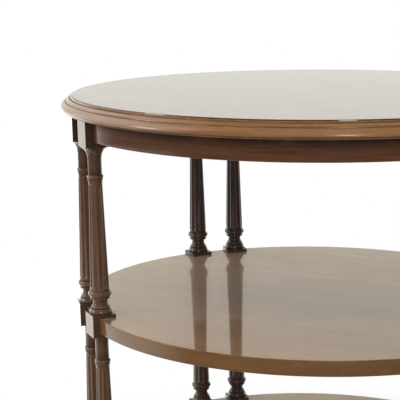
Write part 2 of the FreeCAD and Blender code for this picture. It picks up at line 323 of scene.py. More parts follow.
agedPolish, ageIn, ageOut = newGroup(
    "agedPolish",
    {"Color": "Color", "Place": "Vector", "Wear": "Float", "Recess": "Float", "Rubbed": "Color",
     "Grime": "Color", "Rough": "Float"},
    {"Color": "Color", "Roughness": "Float", "Polish": "Float"})
rubNoise = noiseAt(agedPolish, ageIn["Place"], *ageSizes["rubNoise"])
hazeNoise = noiseAt(agedPolish, ageIn["Place"], *ageSizes["hazeNoise"])
rub = doMath(agedPolish, "MULTIPLY", ageIn["Wear"], spread(agedPolish, rubNoise, *ageSizes["rubLevels"]))
# darkening where the recess mark is set: dirt, and painted shade under the top, beside other parts and in
# hollows
shadeAndDirt = doMath(agedPolish, "MULTIPLY", ageIn["Recess"], spread(agedPolish, hazeNoise, *ageSizes["shadeAndDirtLevels"]))
rubShare = doMath(agedPolish, "MULTIPLY", rub, ageSizes["rubShare"])
shadeAndDirtShare = doMath(agedPolish, "MULTIPLY", shadeAndDirt, ageSizes["shadeAndDirtShare"])
aged = mixColours(agedPolish, "MIX", rubShare, ageIn["Color"], ageIn["Rubbed"])
feed(agedPolish, ageOut["Color"], mixColours(agedPolish, "MIX", shadeAndDirtShare, aged, ageIn["Grime"]))
haze = doMath(agedPolish, "SUBTRACT", hazeNoise, 0.5)
rough = doMath(agedPolish, "MULTIPLY_ADD", haze, ageSizes["hazeRough"], ageIn["Rough"])
feed(agedPolish, ageOut["Roughness"], doMath(agedPolish, "MULTIPLY_ADD", shadeAndDirt, ageSizes["dirtRough"], rough))
feed(agedPolish, ageOut["Polish"], doMath(agedPolish, "MULTIPLY_ADD", shadeAndDirt, -ageSizes["dirtDulling"], 1.0))

# bloom on the tiers: a grey film over the polish, thin at a border near the front edge and thicker behind it;
# the thickening behind is partly a painted light on the backs of the tiers, which the top shades
filmSizes = {"way": (-0.4266, 0.9045, 0), "border": -0.114, "soft": 0.012, "thickBy": 0.14, "thin": 0.55,
             "tone": (0.138, 0.137, 0.123), "dulling": 0.3, "patch": (30.0, 4, 0.6), "stray": 0.03}

bloomAndLightFilm, filmIn, filmOut = newGroup("bloomAndLightFilm", {"Place": "Vector"}, {"Share": "Float"})
filmNoise = noiseAt(bloomAndLightFilm, filmIn["Place"], *filmSizes["patch"])
filmStray = doMath(bloomAndLightFilm, "SUBTRACT", filmNoise, 0.5)
filmDepth = vectorMath(bloomAndLightFilm, "DOT_PRODUCT", filmIn["Place"], filmSizes["way"])
filmDepth = doMath(bloomAndLightFilm, "MULTIPLY_ADD", filmStray, filmSizes["stray"], filmDepth)
filmThick = spread(bloomAndLightFilm, filmDepth, filmSizes["border"], filmSizes["thickBy"])
filmThick = doMath(bloomAndLightFilm, "MULTIPLY_ADD", filmThick, 1 - filmSizes["thin"], filmSizes["thin"])
filmStart = spread(bloomAndLightFilm, filmDepth, filmSizes["border"] - filmSizes["soft"],
                   filmSizes["border"] + filmSizes["soft"])
feed(bloomAndLightFilm, filmOut["Share"], doMath(bloomAndLightFilm, "MULTIPLY", filmThick, filmStart))

# darker heart in the middle of the tiers' veneer
heartSizes = {"centre": (0.04, -0.04, 0), "reach": (0.26, 0.12), "soft": (0.0, 1.2),
              "tone": (0.6, 0.65, 0.72)}

darkHeart, heartIn, heartOut = newGroup("darkHeart", {"Place": "Vector"}, {"Share": "Float"})
heartScale = (1 / heartSizes["reach"][0], 1 / heartSizes["reach"][1], 0)
heartPlace = vectorMath(darkHeart, "SUBTRACT", heartIn["Place"], heartSizes["centre"])
heartPlace = vectorMath(darkHeart, "MULTIPLY", heartPlace, heartScale)
heartReach = vectorMath(darkHeart, "LENGTH", heartPlace)
feed(darkHeart, heartOut["Share"], fade(darkHeart, heartReach, *heartSizes["soft"]))

# woods: grain colours, rubbed edges, a dark tone for dirt and painted shade in hollows; polish is the clear
# coat's roughness, none on raw wood
woodTones = {
    "topWood": {
        "light": (0.18, 0.088, 0.036), "middle": (0.14, 0.065, 0.026), "dark": (0.08, 0.033, 0.013),
        "rubbed": (0.42, 0.24, 0.12), "grime": (0.05, 0.025, 0.013),
        "streaks": 0.5, "pores": 0.5, "rough": 0.34, "polish": 0.05},
    "mouldingWood": {
        "light": (0.36, 0.180, 0.074), "middle": (0.285, 0.132, 0.050), "dark": (0.155, 0.064, 0.025),
        "rubbed": (0.52, 0.31, 0.16), "grime": (0.035, 0.018, 0.011),
        "streaks": 0.5, "pores": 0.5, "rough": 0.34, "polish": 0.2, "coatIor": 1.62},
    "tierWood": {
        "light": (0.32, 0.165, 0.070), "middle": (0.25, 0.125, 0.050), "dark": (0.15, 0.067, 0.027),
        "rubbed": (0.50, 0.32, 0.17), "grime": (0.05, 0.025, 0.013),
        "streaks": 0.3, "pores": 0.6, "rough": 0.34, "polish": 0.04, "bloom": True},
    "apronWood": {
        "light": (0.155, 0.066, 0.034), "middle": (0.116, 0.048, 0.024), "dark": (0.066, 0.026, 0.013),
        "rubbed": (0.30, 0.14, 0.075), "grime": (0.025, 0.012, 0.008),
        "streaks": 0.6, "pores": 0.5, "rough": 0.34, "polish": 0.10},
    "postWood": {
        "light": (0.100, 0.065, 0.051), "middle": (0.075, 0.048, 0.037), "dark": (0.040, 0.025, 0.020),
        "rubbed": (0.12, 0.075, 0.056), "grime": (0.012, 0.009, 0.008),
        "streaks": 0.6, "pores": 0.4, "rough": 0.36, "polish": 0.08},
    "dowelWood": {
        "light": (0.55, 0.36, 0.20), "middle": (0.46, 0.29, 0.15), "dark": (0.32, 0.19, 0.10),
        "rubbed": (0.5, 0.35, 0.2), "grime": (0.2, 0.12, 0.07),
        "streaks": 0.5, "pores": 0.3, "rough": 0.6, "polish": None},
    "blockWood": {
        "light": (0.42, 0.26, 0.13), "middle": (0.34, 0.20, 0.10), "dark": (0.20, 0.11, 0.055),
        "rubbed": (0.5, 0.35, 0.2), "grime": (0.2, 0.12, 0.07),
        "streaks": 0.7, "pores": 0.2, "rough": 0.7, "polish": None},
}
coatSizes = {"ior": 1.5, "woodShine": 0.06, "poreBump": 0.25, "poreDepth": 0.05 * mm}

# what the wood's colour is multiplied by on the edges of the boards, a painted shade, and on the posts nearer
# the light, a painted light
edgeShade = (0.66, 0.64, 0.6)
paintedLightTone = (2.05, 1.65, 1.1)


# polished woods read the marks of their meshes; raw ones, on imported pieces, have grain along their height
def buildWood(name, tones):
    finish, tree, shader = newFinish(name)
    place = addNode(tree, "ShaderNodeTexCoord").outputs["Object"]
    grain = addNode(tree, "ShaderNodeGroup", node_tree=woodGrain)
    setInputs(tree, grain, Light=shade(*tones["light"]), Middle=shade(*tones["middle"]),
              Dark=shade(*tones["dark"]), Streaks=tones["streaks"], Pores=tones["pores"])
    age = addNode(tree, "ShaderNodeGroup", node_tree=agedPolish)
    setInputs(tree, age, Color=grain.outputs["Color"], Place=place, Rubbed=shade(*tones["rubbed"]),
              Grime=shade(*tones["grime"]), Rough=tones["rough"])
    edge = readMark(tree, "edge")
    # painted shade on the edges of the boards, and painted light on the posts nearer the light
    colour = mixColours(tree, "MULTIPLY", edge, age.outputs["Color"], shade(*edgeShade))
    board = mixColours(tree, "MULTIPLY", 1.0, colour, shade(*paintedLightTone))
    colour = mixColours(tree, "MIX", readMark(tree, "paler"), colour, board)
    polish = age.outputs["Polish"]
    if tones.get("bloom"):
        heart = addNode(tree, "ShaderNodeGroup", node_tree=darkHeart)
        film = addNode(tree, "ShaderNodeGroup", node_tree=bloomAndLightFilm)
        setInputs(tree, heart, Place=place)
        setInputs(tree, film, Place=place)
        colour = mixColours(tree, "MULTIPLY", heart.outputs["Share"], colour, shade(*heartSizes["tone"]))
        onFace = doMath(tree, "SUBTRACT", 1.0, edge)
        filmShare = doMath(tree, "MULTIPLY", film.outputs["Share"], onFace)
        colour = mixColours(tree, "ADD", filmShare, colour, shade(*filmSizes["tone"]))
        polish = doMath(tree, "MULTIPLY_ADD", filmShare, -filmSizes["dulling"], polish)
    bump = addNode(tree, "ShaderNodeBump")
    setInputs(tree, bump, Strength=coatSizes["poreBump"], Distance=coatSizes["poreDepth"],
              Height=grain.outputs["Height"])
    setInputs(tree, shader, Base_Color=colour, Roughness=age.outputs["Roughness"],
              Normal=bump.outputs["Normal"])
    if tones["polish"] is None:
        alongHeight = (1 / mm, 1 / mm, 1 / mm / grainStretch)
        setInputs(tree, grain, Vector=vectorMath(tree, "MULTIPLY", place, alongHeight))
        return finish
    setInputs(tree, grain, Vector=readMark(tree, "grain", "Vector"))
    setInputs(tree, age, Wear=readMark(tree, "wear"), Recess=readMark(tree, "recess"))
    setInputs(tree, shader, Coat_Weight=polish, Coat_Roughness=tones["polish"],
              Coat_IOR=tones.get("coatIor", coatSizes["ior"]), Specular_IOR_Level=coatSizes["woodShine"])
    return finish


woods = {name: buildWood(name, tones) for name, tones in woodTones.items()}
print("woods:", len(woods))

# heights of the boards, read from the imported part
topLow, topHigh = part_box("top_panel")[0].z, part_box("top_panel")[1].z
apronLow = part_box("apron_rail_front")[0].z
tierFaces = {"middle_tier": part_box("middle_tier")[1].z, "lower_tier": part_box("lower_tier")[1].z}
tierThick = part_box("middle_tier")[1].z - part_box("middle_tier")[0].z

# posts: stock and gaps in metres, the turning in millimetres as radii and heights, steps of the mesh, and how
# much wear, darkening (dirt and painted shade) and painted light each one shows
postSizes = {
    "width": 30.4 * mm, "inset": 26.5 * mm, "glueGap": 0.1 * mm, "corner": 0.9 * mm,
    "apronDrop": 7.5, "apronReach": 35.0,
    "tierDrop": 5.0, "tierReach": 32.2, "tierShoulder": 12.4, "plinth": 4.2,
    "collar": (8.9, 1.0), "neck": 8.4, "bead": (10.1, 4.6), "fillet": (9.3, 2.4),
    "shaft": (8.5, 12.2), "torus": (12.7, 14.6, 6.6), "ring": (12.3, 3.2), "scotia": (9.0, 9.1),
    "smallRing": (10.6, 11.8, 3.4), "bell": (12.5, 14.2, 6.6),
    "leg": (11.0, 7.2), "ankleRing": (9.8, 4.4), "ankle": (6.6, 4.0), "toe": (11.2, 15.0, 22.0, 7.6),
    "flutes": 10, "fluteMargin": 7.0, "fluteWidth": 0.84, "fluteDepth": 0.1, "fluteEase": 0.65,
    "steps": {"shoulder": 16, "bead": 8, "fluteEnd": 9, "shaft": 8, "torus": 10, "scotia": 9, "smallRing": 7,
              "bell": 7, "ankleRing": 8, "toe": 9, "round": 120},
    "cornerSteps": (-1.83, -0.95, 0.95, 1.83),
    "wearReach": 1.6, "cornerWear": 0.03464, "shadeAndDirtReach": 2.6, "besideApron": 0.75, "besideTier": 0.6,
    "underTop": 0.4, "fluteDarkening": 0.15, "fluteDarkeningDepth": 1.0,
    # painted light: the posts nearer the light are painted lighter, by these shares
    "paler": {"front_left": 0.75, "back_right": 0.4, "front_right": 0.4},
}
postRoom = postSizes["width"] / 2 + postSizes["glueGap"]
farOff = 1e3  # where no flute is cut
tiny = 1e-6

# corner of each post, and the way the edge faces there: the back right pair, mirrored into the other corners
cornerTurns = {"back_right": (0, 1), "back_left": (180, -1), "front_left": (180, 1), "front_right": (360, -1)}
postPlaces = {}
for corner, (cornerStart, cornerWay) in cornerTurns.items():
    for postKind, postSide in (("end", -1), ("side", 1)):
        postTurn = ovalPlan["pairAngle"] + postSide * ovalPlan["pairSpread"] / 2
        postAngle = math.radians(cornerStart + cornerWay * postTurn)
        postPlaces["post_" + corner + "_" + postKind] = corner, postAngle
sortedAngles = np.sort([angle for corner, angle in postPlaces.values()])


# outline of the turning from top block to floor, as radius and height in millimetres, and its fluted lengths
def turningOutline(size):
    steps = size["steps"]
    cornerRadius = size["width"] / mm / math.sqrt(2)
    wide = cornerRadius + 1  # anywhere outside the stock
    strokes = [np.array([(wide, topLow / mm)])]
    shafts = []

    def foot():
        return strokes[-1][-1][1]

    def add(*points):
        strokes.append(np.array(points))

    def swell(name, start, top):
        crown, tall = size[name][-2:]
        strokes.append(swellArc((start, top), crown, tall, steps[name]))

    def band(radius, tall):
        top = foot()
        add((radius, top), (radius, top - tall))

    def neck(blockEnd, shoulder, neckReach):
        if shoulder < cornerRadius:
            add((wide, blockEnd))
        collar, neckRadius = size["collar"][0], size["neck"]
        shoulderEnd = blockEnd - (shoulder - collar)
        strokes.append(uprightArc((shoulder, blockEnd), (collar, shoulderEnd), steps["shoulder"], True))
        neckTop, beadTop = shoulderEnd - size["collar"][1], blockEnd - neckReach
        add((collar, neckTop), (neckRadius, neckTop), (neckRadius, (neckTop + beadTop) / 2))
        swell("bead", neckRadius, beadTop)
        band(*size["fillet"])

    def shaft(topRadius, footRadius, bottom):
        top = foot()
        shafts.append((top, bottom, topRadius, footRadius))
        upper, lower = top - size["fluteMargin"], bottom + size["fluteMargin"]
        ease = 1 - np.cos(np.linspace(0, np.pi / 2, steps["fluteEnd"]))
        ease *= size["fluteMargin"] * size["fluteEase"]
        between = np.linspace(upper, lower, steps["shaft"])[1:-1]
        heights = np.concatenate([[top], upper + ease[::-1], between, lower - ease, [bottom]])
        radii = np.interp(heights, [bottom, top], [footRadius, topRadius])
        strokes.append(np.stack([radii, heights], -1))

    neck(apronLow / mm - size["apronDrop"], cornerRadius, size["apronReach"])
    base = sum(size[name][-1] for name in ("torus", "ring", "scotia", "smallRing", "bell"))
    for face in tierFaces.values():
        plinth = face / mm + size["plinth"]
        shaft(*size["shaft"], plinth + base)
        swell("torus", size["torus"][0], foot())
        band(*size["ring"])
        swell("scotia", (size["ring"][0] + size["scotia"][0]) / 2, foot())
        swell("smallRing", size["smallRing"][0], foot())
        bellTop, bellFoot = size["bell"][:2]
        strokes.append(uprightArc((bellTop, foot()), (bellFoot, plinth), steps["bell"], True))
        add((wide, plinth))
        neck((face - tierThick) / mm - size["tierDrop"], size["tierShoulder"], size["tierReach"])
    toeRadius, toeRise, toeTop, toeBase = size["toe"]
    ankleRadius, ankleTall = size["ankle"]
    legEnd = toeTop + ankleTall + size["ankleRing"][1]
    shaft(*size["leg"], legEnd)
    swell("ankleRing", (size["leg"][1] + size["ankleRing"][0]) / 2, legEnd)
    band(ankleRadius, foot() - toeTop)
    strokes.append(uprightArc((ankleRadius, toeTop), (toeRadius, toeRise), steps["toe"], True)[1:])
    strokes.append(uprightArc((toeRadius, toeRise), (toeBase, 0.0), steps["toe"], False)[1:])
    return np.concatenate(strokes), shafts


# angle from the middle of the nearest face of the square stock
def faceFold(turn):
    return np.abs((turn + math.pi / 4) % (math.pi / 2) - math.pi / 4)


# radius of the square stock with softened corners, in polar form about the post's axis
def squareRadius(turn, half, soften):
    fold = faceFold(turn)
    flat = half / np.cos(fold)
    centre = half - soften
    middle = centre * (np.cos(fold) + np.sin(fold))
    rounded = middle + np.sqrt(np.maximum(middle ** 2 - 2 * centre ** 2 + soften ** 2, 0))
    return np.where(np.tan(fold) * half > centre, rounded, flat)


# radius of the flutes: near wall of a round cutter that runs beside the shaft and ends in balls, or far off
def fluteRadius(turn, height, size, shaft):
    top, bottom, topRadius, footRadius = shaft
    margin = size["fluteMargin"]
    pitch = 2 * math.pi / size["flutes"]
    fold = np.abs(turn % pitch - pitch / 2)
    slope = (footRadius - topRadius) / (top - bottom)

    def cutter(shaftRadius):
        floor = shaftRadius * (1 - size["fluteDepth"])
        chord = shaftRadius * math.cos(size["fluteWidth"] * math.pi / size["flutes"])
        radius = (shaftRadius ** 2 + floor ** 2 - 2 * floor * chord) / (2 * (chord - floor))
        return radius, floor + radius

    upper, upperRun = cutter(topRadius + slope * margin)
    lower, lowerRun = cutter(footRadius - slope * margin)
    ends = [bottom + margin, top - margin]
    radius = np.interp(height, ends, [lower, upper])
    run = np.interp(height, ends, [lowerRun, upperRun])
    past = np.maximum(np.maximum(ends[0] - height, height - ends[1]), 0)
    radius = np.sqrt(np.maximum(radius ** 2 - past ** 2, 0))
    inside = radius ** 2 - (run * np.sin(fold)) ** 2
    return np.where(inside > 0, run * np.cos(fold) - np.sqrt(np.maximum(inside, 0)), farOff)


# a post: the square stock, cut back to the turning wherever that is slimmer, and fluted along its shafts
def buildPost(name, corner, angle, size):
    outline, shafts = turningOutline(size)
    turned, height = outline[:, :1], outline[:, 1:]
    evenTurns = np.arange(size["steps"]["round"]) * 360 / size["steps"]["round"]
    nearCorners = 45 + 90 * np.arange(4)[:, None] + np.array(size["cornerSteps"])
    turn = np.radians(np.sort(np.concatenate([evenTurns, nearCorners.ravel()])))[None, :]
    square = squareRadius(turn, size["width"] / mm / 2, size["corner"] / mm)
    squared = square <= turned
    radius = np.minimum(square, turned)
    cornerWear = np.exp(-((faceFold(turn) - math.pi / 4) / size["cornerWear"]) ** 2)
    ringWear = outlineTone(outline, size["wearReach"])[0][:, None]
    # hollows of the turning darkened: painted shade, and dirt
    ringShadeAndDirt = outlineTone(outline, size["shadeAndDirtReach"])[1][:, None]
    # painted shade on the neck under the top, and on the block's flanks beside the apron and the tiers
    underTop = (height >= apronLow / mm - size["apronReach"]) * size["underTop"]
    onTopBlock = height >= apronLow / mm - size["apronDrop"]
    flankShade = np.where(onTopBlock, size["besideApron"], size["besideTier"])
    flankShade = flankShade * (np.abs(np.sin(turn)) > math.sqrt(0.5))
    wear = np.where(squared, cornerWear, ringWear)
    recess = np.where(squared, flankShade, np.maximum(ringShadeAndDirt, underTop))
    for shaft in shafts:
        onShaft = (height <= shaft[0]) & (height >= shaft[1]) & (turned <= max(shaft[2:]) + tiny)
        fluted = np.where(onShaft, fluteRadius(turn, height, size, shaft), farOff)
        # darker in the flutes
        cut = np.clip((radius - fluted) / size["fluteDarkeningDepth"], 0, 1)
        recess = np.maximum(recess, cut * size["fluteDarkening"])
        radius = np.minimum(radius, fluted)
    centreX, centreY = ovalPoint(angle, size["inset"])
    points = np.stack([centreX + radius * mm * np.cos(turn + angle),
                       centreY + radius * mm * np.sin(turn + angle),
                       np.broadcast_to(height * mm, radius.shape)], -1)
    # paler: a share of painted light, lighter on the posts nearer the light
    marks = {"grain": grainMarks(points[..., 2], points[..., 0], points[..., 1]), "wear": wear,
             "recess": recess, "paler": np.full(radius.shape, size["paler"].get(corner, 0.0))}
    return makePiece(camelName(name), points, gridFaces(*radius.shape, closedColumns=True),
                     endCaps(*radius.shape), marks, name, woods["postWood"])


posts = [buildPost(name, corner, angle, postSizes) for name, (corner, angle) in postPlaces.items()]
print("posts:", len(posts), "of", len(posts[0].data.polygons), "faces")

# tiers: setback from the top's edge, and degrees between the points of their outline
tierSizes = {"setback": 20.0 * mm, "arris": 0.8 * mm, "arrisSteps": 6, "edgeStep": 1.0, "leastSteps": 4}


# outline of a tier, anticlockwise, and the way in at each point: arcs between the posts, and a square notch
# round each post's block
def notchedOutline(size):
    side = np.array([-postRoom, postRoom])
    notchFloor = postSizes["inset"] + postRoom
    xs, ys, inwards = [], [], []
    for start, end in zip(sortedAngles, np.append(sortedAngles[1:], sortedAngles[0] + 2 * math.pi)):
        lip = np.arcsin(postRoom / (ovalRadius(np.array([start, end])) - size["setback"]))
        count = max(size["leastSteps"], int(math.degrees(end - start) / size["edgeStep"]))
        edge = np.linspace(start + lip[0], end - lip[1], count)
        x, y = ovalPoint(edge, size["setback"])
        lean = edge.copy()
        lean[0], lean[-1] = start, end
        cornerX, cornerY = ovalPoint(np.array([end, end]), notchFloor)
        xs.append(np.concatenate([x, cornerX - np.sin(end) * side]))
        ys.append(np.concatenate([y, cornerY + np.cos(end) * side]))
        inwards.append(np.concatenate([np.stack([-np.cos(lean), -np.sin(lean)], -1), np.zeros((2, 2))]))
    return np.concatenate(xs), np.concatenate(ys), np.concatenate(inwards)


# a board: its edge profile, a flat between quarter rounds, carried along an outline, and flat faces within
def buildBoard(name, node, outline, low, high, size, finish):
    x, y, inwards = outline
    quarter = np.linspace(0, math.pi / 2, size["arrisSteps"] + 1)
    inset = size["arris"] * (1 - np.sin(quarter))
    drop = size["arris"] * (1 - np.cos(quarter))
    profileTurn = np.concatenate([quarter, quarter[::-1]])[:, None]
    profileInset = np.concatenate([inset, inset[::-1]])[:, None]
    profileHeight = np.concatenate([high - drop, low + drop[::-1]])[:, None]
    points = np.stack([x + profileInset * inwards[:, 0], y + profileInset * inwards[:, 1],
                       np.broadcast_to(profileHeight, (len(profileHeight), len(x)))], -1)
    rows, columns = points.shape[:2]
    wear = np.clip(np.sin(2 * profileTurn), 0, 1) * (np.hypot(*inwards.T) > 0)
    # the edge rows are painted darker, a painted shade, and kept free of the bloom film
    marks = {"grain": grainMarks(points[..., 0], points[..., 1], points[..., 2]), "wear": wear,
             "recess": np.zeros_like(wear), "edge": np.broadcast_to(profileTurn > 0, wear.shape)}
    return makePiece(name, points, gridFaces(rows, columns, closedColumns=True), endCaps(rows, columns),
                     marks, node, finish)


tierOutline = notchedOutline(tierSizes)
tiers = [buildBoard(camelName(node), node, tierOutline, face - tierThick, face, tierSizes,
                    woods["tierWood"]) for node, face in tierFaces.items()]
print("tiers:", len(tiers), "of", len(tiers[0].data.polygons), "faces")

panelSizes = {"inset": 15.3 * mm, "arris": 0.5 * mm, "arrisSteps": 4}

panelInwards = np.stack([-np.cos(ringAngles), -np.sin(ringAngles)], -1)
panelOutline = (*ovalPoint(ringAngles, panelSizes["inset"]), panelInwards)
topBoard = buildBoard("topBoard", "top_panel", panelOutline, topLow, topHigh, panelSizes,
                      woods["topWood"])

# edge moulding, in millimetres: width and height of each member, steps of its curves, and how far the
# lightening (wear and painted highlight) and the darkening (dirt and painted shade) reach from a corner or
# hollow
mouldingSizes = {
    "width": 15.2, "step": 1.4, "fillet": (2.6, 2.1), "band": (4.6, 4.4), "quirk": (0.7, 0.9),
    "noseRise": 7.8, "noseTuck": 1.8, "underFillet": (4.2, 2.5),
    "bandSteps": 10, "noseSteps": 14, "tuckSteps": 12,
    "cornerReach": 1.5, "cornerShare": 0.99, "wearReach": 1.4, "shadeAndDirtReach": 2.0,
}


# outline of the lipping, from the top down: step, fillet, quirk, small ovolo, quirk, large nose, under-fillet
def mouldingOutline(size):
    high, low = topHigh / mm - size["step"], topLow / mm
    quirkIn, quirkDown = size["quirk"]
    filletInset = size["width"] - size["fillet"][0]
    bandTop = high - size["fillet"][1]
    bandInset = filletInset - quirkIn
    bandEnd = (bandInset - size["band"][0], bandTop - size["band"][1])
    noseStart = (bandEnd[0] - quirkIn, bandEnd[1])
    noseEnd = (0.0, noseStart[1] - size["noseRise"])
    underInset, underTop = size["underFillet"][0], low + size["underFillet"][1]
    return np.concatenate([
        [(size["width"], high), (filletInset, high), (filletInset, (high + bandTop) / 2),
         (filletInset, bandTop), (filletInset, bandTop - quirkDown)],
        uprightArc((bandInset, bandTop), bandEnd, size["bandSteps"], True),
        [(bandEnd[0], bandEnd[1] - quirkDown)],
        uprightArc(noseStart, noseEnd, size["noseSteps"], True),
        uprightArc(noseEnd, (size["noseTuck"], underTop), size["tuckSteps"], False)[1:],
        [(underInset, underTop), (underInset, low), (size["width"], low)]])


# the lipping: its outline carried all the way round the oval, lighter at corners (wear and painted highlight)
# and darker in hollows (dirt and painted shade), each falling off as a bell curve of the distance to the
# nearest corner or hollow
def buildMoulding(size):
    outline = mouldingOutline(size)
    girth = runLength(outline)[:, None]
    corner, hollow = outlineTone(outline * np.array([-1, 1]), size["cornerReach"], closed=True)

    def around(share, reach):
        nearest = np.abs(girth - girth[share > size["cornerShare"]].T).min(1, keepdims=True)
        return np.broadcast_to(np.exp(-(nearest / reach) ** 2), x.shape)

    x, y = ovalPoint(ringAngles[None, :], outline[:, :1] * mm)
    points = np.stack([x, y, np.broadcast_to(outline[:, 1:] * mm, x.shape)], -1)
    grain = [x / mm / grainStretch, y / mm / grainStretch, np.broadcast_to(girth, x.shape)]
    # lighter at corners: wear, and a painted highlight; darker in the quirks: dirt, and painted shade
    marks = {"grain": np.stack(grain, -1), "wear": around(corner, size["wearReach"]),
             "recess": around(hollow, size["shadeAndDirtReach"])}
    quads = gridFaces(*x.shape, closedRows=True, closedColumns=True)
    return makePiece("topMoulding", points, quads, [], marks, "top_edge_moulding",
                     woods["mouldingWood"])


topMoulding = buildMoulding(mouldingSizes)
print("top:", len(topBoard.data.polygons), "faces and", len(topMoulding.data.polygons), "round its edge")

# apron rails: section, degrees between points, a painted shadow of the nose by the depth below the top,
# darkening at the ends beside the posts, and how far the grain shifts from rail to rail
railSizes = {
    "setback": 19.0 * mm, "thickness": 20.0 * mm, "arris": 0.8 * mm, "arrisSteps": 5, "edgeStep": 1.2,
    "leastSteps": 6,
    "shadowDepths": (0.0, 3.0 * mm, 6.0 * mm, 9.0 * mm, 13.0 * mm), "shade": (1.0, 1.0, 0.8, 0.4, 0.0),
    "endDirt": 0.9, "endColumns": (1, 2), "grainShift": 50.0 * mm,
}
railNames = ["right", "back_right", "back", "back_left", "left", "front_left", "front", "front_right"]


# a rail: its section carried along the oval from one post's flank to the next, and cut flat along each flank
def buildRail(name, start, end, size):
    quarter = np.linspace(0, math.pi / 2, size["arrisSteps"] + 1)
    outer, inner = size["setback"], size["setback"] + size["thickness"]
    upper = np.stack([np.full(len(size["shadowDepths"]), outer), topLow - np.array(size["shadowDepths"])], -1)
    rounded = np.stack([outer + size["arris"] * (1 - np.cos(quarter)),
                        apronLow + size["arris"] * (1 - np.sin(quarter))], -1)
    outline = np.concatenate([upper, rounded, [(inner, apronLow), (inner, topLow)]])
    inset, height = outline[:, :1], outline[:, 1:]
    first = start + np.arcsin(postRoom / (ovalRadius(start) - inset))
    last = end - np.arcsin(postRoom / (ovalRadius(end) - inset))
    count = max(size["leastSteps"], int(math.degrees(end - start) / size["edgeStep"]))
    angle = first + (last - first) * np.linspace(0, 1, count)
    x, y = ovalPoint(angle, inset)
    rows, columns = x.shape
    points = np.stack([x, y, np.broadcast_to(height, x.shape)], -1)
    along = angle * (sideRadius + endRadius) / 2
    across = points[..., 2] + len(name) * size["grainShift"]
    wear = np.concatenate([np.zeros(len(upper)), np.sin(2 * quarter), [0, 0]])[:, None]
    # painted shadow of the nose on the rail's top, and darker next to each post
    underTop = np.concatenate([size["shade"], np.zeros(rows - len(upper))])[:, None]
    fromEnd = np.minimum(np.arange(columns), np.arange(columns)[::-1])
    besidePost = np.interp(fromEnd, size["endColumns"], (size["endDirt"], 0))
    marks = {"grain": grainMarks(along, across, np.broadcast_to(inset, x.shape)),
             "wear": np.broadcast_to(wear, x.shape), "recess": np.maximum(underTop, besidePost)}
    caps = [np.arange(rows)[::-1] * columns, np.arange(rows) * columns + columns - 1]
    return makePiece(camelName("rail_" + name), points, gridFaces(rows, columns, closedRows=True), caps,
                     marks, "apron_rail_" + name, woods["apronWood"])


railStarts = np.concatenate([sortedAngles[-1:] - 2 * math.pi, sortedAngles[:-1]])
rails = [buildRail(name, start, end, railSizes)
         for name, start, end in zip(railNames, railStarts, sortedAngles)]
print("apron:", len(rails), "rails")

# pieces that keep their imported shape: dowels, glue blocks and screws
steelSizes = {"bright": (0.42, 0.41, 0.39), "dull": (0.22, 0.17, 0.13), "tarnish": (600.0, 4, 0.6),
              "levels": (0.35, 0.7), "rough": 0.32, "dullRough": 0.3}

screwSteel, steelTree, steelShader = newFinish("screwSteel")
steelPlace = addNode(steelTree, "ShaderNodeTexCoord").outputs["Object"]
tarnish = spread(steelTree, noiseAt(steelTree, steelPlace, *steelSizes["tarnish"]), *steelSizes["levels"])
steelColour = mixColours(steelTree, "MIX", tarnish, shade(*steelSizes["bright"]), shade(*steelSizes["dull"]))
steelRough = doMath(steelTree, "MULTIPLY_ADD", tarnish, steelSizes["dullRough"], steelSizes["rough"])
setInputs(steelTree, steelShader, Base_Color=steelColour, Roughness=steelRough, Metallic=1.0)

keptFinishes = {"glue_blocks": woods["blockWood"], "top_screws": screwSteel}
for joined in ("middle_tier", "lower_tier", "apron", "top"):
    keptFinishes[joined + "_dowels"] = woods["dowelWood"]
for nodeName, finish in keptFinishes.items():
    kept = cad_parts[nodeName]
    kept.data.materials.clear()
    kept.data.materials.append(finish)
print("kept nodes:", len(keptFinishes))

# studio: what the polish mirrors is bright behind the table, brightest on the floor behind it to the left, and
# dim before it; what lights it comes softly from the front, and from the white backdrop behind. Levels are the
# cosines between a way and the light's own at which the light starts and is full
studioTones = {
    "dim": 0.06, "fill": 0.28, "back": 1.2,
    "bright": {"way": (-0.375, 0.927, 0), "levels": (0.2, 0.67), "strength": 1.0},
    "glare": {"way": (-0.866, 0.5, 0), "levels": (0.848, 0.978), "strength": 1.9},
    "near": {"way": (-0.985, -0.174, 0), "levels": (0.7, 0.95), "edge": (2.2, 3.6), "strength": 1.25},
    "side": {"way": (-0.985, -0.174, 0), "levels": (0.64, 0.91), "edge": (0.6, 0.95), "strength": 1.7},
    "front": {"way": (0.0, -0.94, 0.35), "levels": (-0.1, 1.0), "strength": 0.95},
    "low": (1, 1.0, 0.95), "high": (1.08, 1.02, 0.88), "cool": (0.97, 1.0, 1.0),
    "warmHeights": (0.14, 0.22), "dimHeights": (0.45, 0.8),
}
white = shade(1, 1, 1)


# share of a light that is seen along a way, from how near that lies to the light's own way, seen from above
def facing(tree, way, light):
    level = vectorMath(tree, "NORMALIZE", vectorMath(tree, "MULTIPLY", way, (1, 1, 0)))
    return spread(tree, vectorMath(tree, "DOT_PRODUCT", level, light["way"]), *light["levels"])


# strength of the backdrop that is mirrored along a way
def mirroredStrength(tree, way):
    bright, dim = studioTones["bright"], studioTones["dim"]
    return doMath(tree, "MULTIPLY_ADD", facing(tree, way, bright), bright["strength"] - dim, dim)


# floor: pale near the table, where it takes the shadow, and white further off
floorSizes = {"half": 14.0, "whiteFrom": 0.5, "whiteBy": 0.92, "tone": 0.82, "bounce": 0.4, "rough": 0.9}

